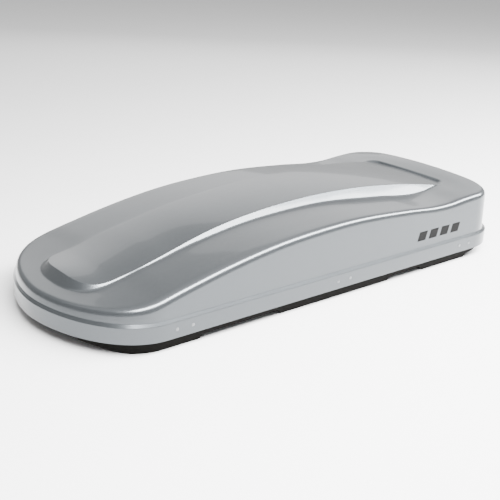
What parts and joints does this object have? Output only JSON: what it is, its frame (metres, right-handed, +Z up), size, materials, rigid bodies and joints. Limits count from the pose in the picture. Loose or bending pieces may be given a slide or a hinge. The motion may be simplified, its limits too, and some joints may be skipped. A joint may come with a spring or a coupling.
{
  "type": "roof cargo box",
  "caption": "Low-nosed hard-shell roof cargo box with a side-hinged lid, gas struts, central lock, load straps and adjustable crossbar clamps.",
  "frame": {"origin": "middle of the box in plan, on the underside of the feet", "axes": "+X to the nose (forward on the car), +Y to the left hinged side, +Z up"},
  "size_m": [1.9722, 0.8211, 0.3265],
  "materials": {
    "silver_shell": "silver metallic gloss over ABS, dark matt inside",
    "black_tray": "fine-grained black ABS",
    "grey_shell": "matt dark grey ABS pressing",
    "zinc_steel": "zinc-plated steel",
    "aluminium": "satin aluminium",
    "nickel": "satin nickel",
    "black_nylon": "moulded black nylon",
    "black_paint": "gloss black paint",
    "seal_rubber": "matt EPDM",
    "webbing": "woven polyester webbing"
  },
  "bodies": {
    "base": {"base_tray": "black_tray", "floor_rail_left": "aluminium", "floor_rail_right": "aluminium", "rim_seal": "seal_rubber", "hinge_leaf_base_front": "zinc_steel", "hinge_leaf_base_middle": "zinc_steel", "hinge_leaf_base_rear": "zinc_steel", "hinge_pins": "zinc_steel", "base_rivets": "aluminium", "lock_housing": "black_nylon", "bar_guides": "black_nylon", "strut_foot_front": "zinc_steel", "strut_foot_rear": "zinc_steel", "strap_anchors": "zinc_steel", "strap_front": "webbing", "strap_rear": "webbing", "buckle_front": "aluminium", "buckle_rear": "aluminium"},
    "lid": {"lid_shell": "silver_shell", "lid_stiffener_front": "grey_shell", "lid_stiffener_rear": "grey_shell", "hinge_leaf_lid_front": "zinc_steel", "hinge_leaf_lid_middle": "zinc_steel", "hinge_leaf_lid_rear": "zinc_steel", "lid_rivets": "aluminium", "striker_front": "zinc_steel", "striker_middle": "zinc_steel", "striker_rear": "zinc_steel", "strut_head_front": "zinc_steel", "strut_head_rear": "zinc_steel"},
    "lock_barrel": {"lock_barrel": "nickel", "lock_cam": "zinc_steel"},
    "key": {"key": "nickel"},
    "lock_bar": {"lock_bar": "zinc_steel", "lock_hooks": "zinc_steel"},
    "strut_cylinder_front": {"strut_cylinder_front": "black_paint"},
    "strut_rod_front": {"strut_rod_front": "zinc_steel"},
    "strut_cylinder_rear": {"strut_cylinder_rear": "black_paint"},
    "strut_rod_rear": {"strut_rod_rear": "zinc_steel"},
    "clamp_plate_front_left": {"clamp_plate_front_left": "black_nylon"},
    "u_bolt_front_left": {"u_bolt_front_left": "zinc_steel"},
    "knob_a_front_left": {"knob_a_front_left": "black_nylon"},
    "knob_b_front_left": {"knob_b_front_left": "black_nylon"},
    "clamp_plate_front_right": {"clamp_plate_front_right": "black_nylon"},
    "u_bolt_front_right": {"u_bolt_front_right": "zinc_steel"},
    "knob_a_front_right": {"knob_a_front_right": "black_nylon"},
    "knob_b_front_right": {"knob_b_front_right": "black_nylon"},
    "clamp_plate_rear_left": {"clamp_plate_rear_left": "black_nylon"},
    "u_bolt_rear_left": {"u_bolt_rear_left": "zinc_steel"},
    "knob_a_rear_left": {"knob_a_rear_left": "black_nylon"},
    "knob_b_rear_left": {"knob_b_rear_left": "black_nylon"},
    "clamp_plate_rear_right": {"clamp_plate_rear_right": "black_nylon"},
    "u_bolt_rear_right": {"u_bolt_rear_right": "zinc_steel"},
    "knob_a_rear_right": {"knob_a_rear_right": "black_nylon"},
    "knob_b_rear_right": {"knob_b_rear_right": "black_nylon"},
    "buckle_lever_front": {"buckle_lever_front": "aluminium"},
    "buckle_lever_rear": {"buckle_lever_rear": "aluminium"}
  },
  "joints": [
    {"name": "lid_hinge", "type": "hinge", "parent": "base", "child": "lid", "pos_m": [0, 0.381, 0.053], "axis": [-1, 0, 0], "range_deg": [0, 55]},
    {"name": "key_turn", "type": "hinge", "parent": "base", "child": "lock_barrel", "pos_m": [0, -0.395, 0.06], "axis": [0, 1, 0], "range_deg": [0, 90]},
    {"name": "key_pull", "type": "slide", "parent": "lock_barrel", "child": "key", "axis": [0, -1, 0], "range_m": [0, 0.03]},
    {"name": "lock_bar_slide", "type": "slide", "parent": "base", "child": "lock_bar", "axis": [1, 0, 0], "range_m": [0, 0.02]},
    {"name": "strut_base_pivot_front", "type": "hinge", "parent": "base", "child": "strut_cylinder_front", "pos_m": [0.655, 0.261, 0.053], "axis": [-1, 0, 0], "range_deg": [0, 27.5]},
    {"name": "strut_lid_pivot_front", "type": "hinge", "parent": "lid", "child": "strut_rod_front", "pos_m": [0.655, 0.3284, 0.16086], "axis": [-1, 0, 0], "range_deg": [-27.5, 0]},
    {"name": "strut_base_pivot_rear", "type": "hinge", "parent": "base", "child": "strut_cylinder_rear", "pos_m": [-0.85, 0.171, 0.053], "axis": [-1, 0, 0], "range_deg": [0, 27.5]},
    {"name": "strut_lid_pivot_rear", "type": "hinge", "parent": "lid", "child": "strut_rod_rear", "pos_m": [-0.85, 0.28894, 0.24175], "axis": [-1, 0, 0], "range_deg": [-27.5, 0]},
    {"name": "clamp_shift_front_left", "type": "slide", "parent": "base", "child": "clamp_plate_front_left", "axis": [1, 0, 0], "range_m": [-0.05, 0.05]},
    {"name": "knob_a_turn_front_left", "type": "hinge", "parent": "clamp_plate_front_left", "child": "knob_a_front_left", "pos_m": [0.362, 0.2, 0.03], "axis": [0, 0, 1], "range_deg": [0, 14400]},
    {"name": "knob_b_turn_front_left", "type": "hinge", "parent": "clamp_plate_front_left", "child": "knob_b_front_left", "pos_m": [0.434, 0.2, 0.03], "axis": [0, 0, 1], "range_deg": [0, 14400]},
    {"name": "u_bolt_drop_front_left", "type": "slide", "parent": "clamp_plate_front_left", "child": "u_bolt_front_left", "axis": [0, 0, 1], "range_m": [-0.05, 0]},
    {"name": "clamp_shift_front_right", "type": "slide", "parent": "base", "child": "clamp_plate_front_right", "axis": [1, 0, 0], "range_m": [-0.05, 0.05]},
    {"name": "knob_a_turn_front_right", "type": "hinge", "parent": "clamp_plate_front_right", "child": "knob_a_front_right", "pos_m": [0.362, -0.2, 0.03], "axis": [0, 0, 1], "range_deg": [0, 14400]},
    {"name": "knob_b_turn_front_right", "type": "hinge", "parent": "clamp_plate_front_right", "child": "knob_b_front_right", "pos_m": [0.434, -0.2, 0.03], "axis": [0, 0, 1], "range_deg": [0, 14400]},
    {"name": "u_bolt_drop_front_right", "type": "slide", "parent": "clamp_plate_front_right", "child": "u_bolt_front_right", "axis": [0, 0, 1], "range_m": [-0.05, 0]},
    {"name": "clamp_shift_rear_left", "type": "slide", "parent": "base", "child": "clamp_plate_rear_left", "axis": [1, 0, 0], "range_m": [-0.022, 0.022]},
    {"name": "knob_a_turn_rear_left", "type": "hinge", "parent": "clamp_plate_rear_left", "child": "knob_a_rear_left", "pos_m": [-0.452, 0.2, 0.03], "axis": [0, 0, 1], "range_deg": [0, 14400]},
    {"name": "knob_b_turn_rear_left", "type": "hinge", "parent": "clamp_plate_rear_left", "child": "knob_b_rear_left", "pos_m": [-0.38, 0.2, 0.03], "axis": [0, 0, 1], "range_deg": [0, 14400]},
    {"name": "u_bolt_drop_rear_left", "type": "slide", "parent": "clamp_plate_rear_left", "child": "u_bolt_rear_left", "axis": [0, 0, 1], "range_m": [-0.05, 0]},
    {"name": "clamp_shift_rear_right", "type": "slide", "parent": "base", "child": "clamp_plate_rear_right", "axis": [1, 0, 0], "range_m": [-0.022, 0.022]},
    {"name": "knob_a_turn_rear_right", "type": "hinge", "parent": "clamp_plate_rear_right", "child": "knob_a_rear_right", "pos_m": [-0.452, -0.2, 0.03], "axis": [0, 0, 1], "range_deg": [0, 14400]},
    {"name": "knob_b_turn_rear_right", "type": "hinge", "parent": "clamp_plate_rear_right", "child": "knob_b_rear_right", "pos_m": [-0.38, -0.2, 0.03], "axis": [0, 0, 1], "range_deg": [0, 14400]},
    {"name": "u_bolt_drop_rear_right", "type": "slide", "parent": "clamp_plate_rear_right", "child": "u_bolt_rear_right", "axis": [0, 0, 1], "range_m": [-0.05, 0]},
    {"name": "buckle_open_front", "type": "hinge", "parent": "base", "child": "buckle_lever_front", "pos_m": [0.12, 0.048, 0.0168], "axis": [1, 0, 0], "range_deg": [0, 80], "stiffness_Nm_per_rad": 0.08},
    {"name": "buckle_open_rear", "type": "hinge", "parent": "base", "child": "buckle_lever_rear", "pos_m": [-0.215, 0.048, 0.0168], "axis": [1, 0, 0], "range_deg": [0, 80], "stiffness_Nm_per_rad": 0.08}
  ],
  "couplings": [
    {"joint": "key_turn", "follows": "lock_bar_slide", "rad_per_m": 78.53},
    {"joint": "strut_base_pivot_front", "follows": "lid_hinge", "ratio": 0.5},
    {"joint": "strut_lid_pivot_front", "follows": "lid_hinge", "ratio": -0.5},
    {"joint": "strut_base_pivot_rear", "follows": "lid_hinge", "ratio": 0.5},
    {"joint": "strut_lid_pivot_rear", "follows": "lid_hinge", "ratio": -0.5},
    {"joint": "knob_a_turn_front_left", "follows": "u_bolt_drop_front_left", "rad_per_m": -5026.5},
    {"joint": "knob_b_turn_front_left", "follows": "u_bolt_drop_front_left", "rad_per_m": -5026.5},
    {"joint": "knob_a_turn_front_right", "follows": "u_bolt_drop_front_right", "rad_per_m": -5026.5},
    {"joint": "knob_b_turn_front_right", "follows": "u_bolt_drop_front_right", "rad_per_m": -5026.5},
    {"joint": "knob_a_turn_rear_left", "follows": "u_bolt_drop_rear_left", "rad_per_m": -5026.5},
    {"joint": "knob_b_turn_rear_left", "follows": "u_bolt_drop_rear_left", "rad_per_m": -5026.5},
    {"joint": "knob_a_turn_rear_right", "follows": "u_bolt_drop_rear_right", "rad_per_m": -5026.5},
    {"joint": "knob_b_turn_rear_right", "follows": "u_bolt_drop_rear_right", "rad_per_m": -5026.5}
  ]
}
